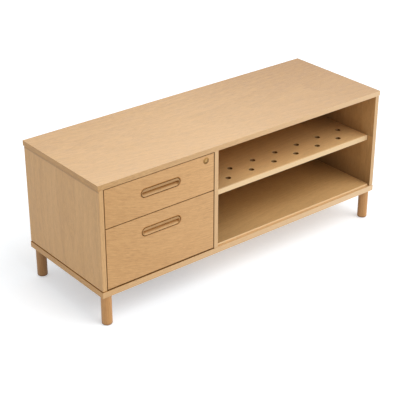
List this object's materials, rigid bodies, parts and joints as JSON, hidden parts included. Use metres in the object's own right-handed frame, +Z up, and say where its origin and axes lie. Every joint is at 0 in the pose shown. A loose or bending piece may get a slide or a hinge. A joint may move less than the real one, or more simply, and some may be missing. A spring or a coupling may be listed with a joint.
{
  "type": "office credenza",
  "caption": "Low oak credenza on round legs: drawers with inset finger pulls and a cam lock, beside an open bay with a perforated shelf.",
  "frame": {"origin": "on the floor, below the middle of the cabinet's length and depth", "axes": "+X along the length to the right as seen from the front, +Y to the back, +Z up"},
  "size_m": [1.5, 0.53, 0.622],
  "materials": {
    "oak_veneer": "satin lacquered veneer",
    "solid_oak": "satin lacquered solid oak",
    "birch_ply": "clear lacquered plywood",
    "zinc_steel": "bright zinc",
    "brass": "satin",
    "black_plastic": "matte"
  },
  "bodies": {
    "carcass": {"top_panel": "oak_veneer", "base_panel": "oak_veneer", "left_side_panel": "oak_veneer", "right_side_panel": "oak_veneer", "divider_panel": "oak_veneer", "back_panel": "oak_veneer", "bay_deck": "oak_veneer", "shelf": "oak_veneer", "shelf_pin_front_left": "zinc_steel", "shelf_pin_front_right": "zinc_steel", "shelf_pin_rear_left": "zinc_steel", "shelf_pin_rear_right": "zinc_steel", "leg_front_left": "solid_oak", "leg_glide_front_left": "black_plastic", "leg_bolt_front_left": "zinc_steel", "leg_insert_front_left": "zinc_steel", "leg_rear_left": "solid_oak", "leg_glide_rear_left": "black_plastic", "leg_bolt_rear_left": "zinc_steel", "leg_insert_rear_left": "zinc_steel", "leg_front_right": "solid_oak", "leg_glide_front_right": "black_plastic", "leg_bolt_front_right": "zinc_steel", "leg_insert_front_right": "zinc_steel", "leg_rear_right": "solid_oak", "leg_glide_rear_right": "black_plastic", "leg_bolt_rear_right": "zinc_steel", "leg_insert_rear_right": "zinc_steel", "lock_strike": "zinc_steel", "upper_left_runner_cabinet_member": "zinc_steel", "upper_right_runner_cabinet_member": "zinc_steel", "lower_left_runner_cabinet_member": "zinc_steel", "lower_right_runner_cabinet_member": "zinc_steel"},
    "upper_drawer": {"upper_drawer_front": "oak_veneer", "upper_drawer_pull": "solid_oak", "upper_drawer_left_side": "birch_ply", "upper_drawer_right_side": "birch_ply", "upper_drawer_back": "birch_ply", "upper_drawer_bottom": "birch_ply", "upper_left_runner_drawer_member": "zinc_steel", "upper_right_runner_drawer_member": "zinc_steel", "lock_housing": "brass", "lock_nut": "zinc_steel"},
    "upper_runner_middles": {"upper_left_runner_middle_member": "zinc_steel", "upper_right_runner_middle_member": "zinc_steel"},
    "lower_drawer": {"lower_drawer_front": "oak_veneer", "lower_drawer_pull": "solid_oak", "lower_drawer_left_side": "birch_ply", "lower_drawer_right_side": "birch_ply", "lower_drawer_back": "birch_ply", "lower_drawer_bottom": "birch_ply", "lower_left_runner_drawer_member": "zinc_steel", "lower_right_runner_drawer_member": "zinc_steel"},
    "lower_runner_middles": {"lower_left_runner_middle_member": "zinc_steel", "lower_right_runner_middle_member": "zinc_steel"},
    "lock_core": {"lock_plug": "brass", "lock_cam": "zinc_steel", "lock_cam_screw": "zinc_steel"}
  },
  "joints": [
    {"name": "upper_drawer_slide", "type": "slide", "parent": "carcass", "child": "upper_drawer", "axis": [0, -1, 0], "range_m": [0, 0.43]},
    {"name": "upper_runner_slide", "type": "slide", "parent": "carcass", "child": "upper_runner_middles", "axis": [0, -1, 0], "range_m": [0, 0.215]},
    {"name": "lower_drawer_slide", "type": "slide", "parent": "carcass", "child": "lower_drawer", "axis": [0, -1, 0], "range_m": [0, 0.43]},
    {"name": "lower_runner_slide", "type": "slide", "parent": "carcass", "child": "lower_runner_middles", "axis": [0, -1, 0], "range_m": [0, 0.215]},
    {"name": "lock_turn", "type": "hinge", "parent": "upper_drawer", "child": "lock_core", "pos_m": [-0.2355, -0.25, 0.5735], "axis": [0, 1, 0], "range_deg": [0, 90]}
  ],
  "couplings": [
    {"joint": "upper_runner_slide", "follows": "upper_drawer_slide", "ratio": 0.5},
    {"joint": "lower_runner_slide", "follows": "lower_drawer_slide", "ratio": 0.5}
  ]
}
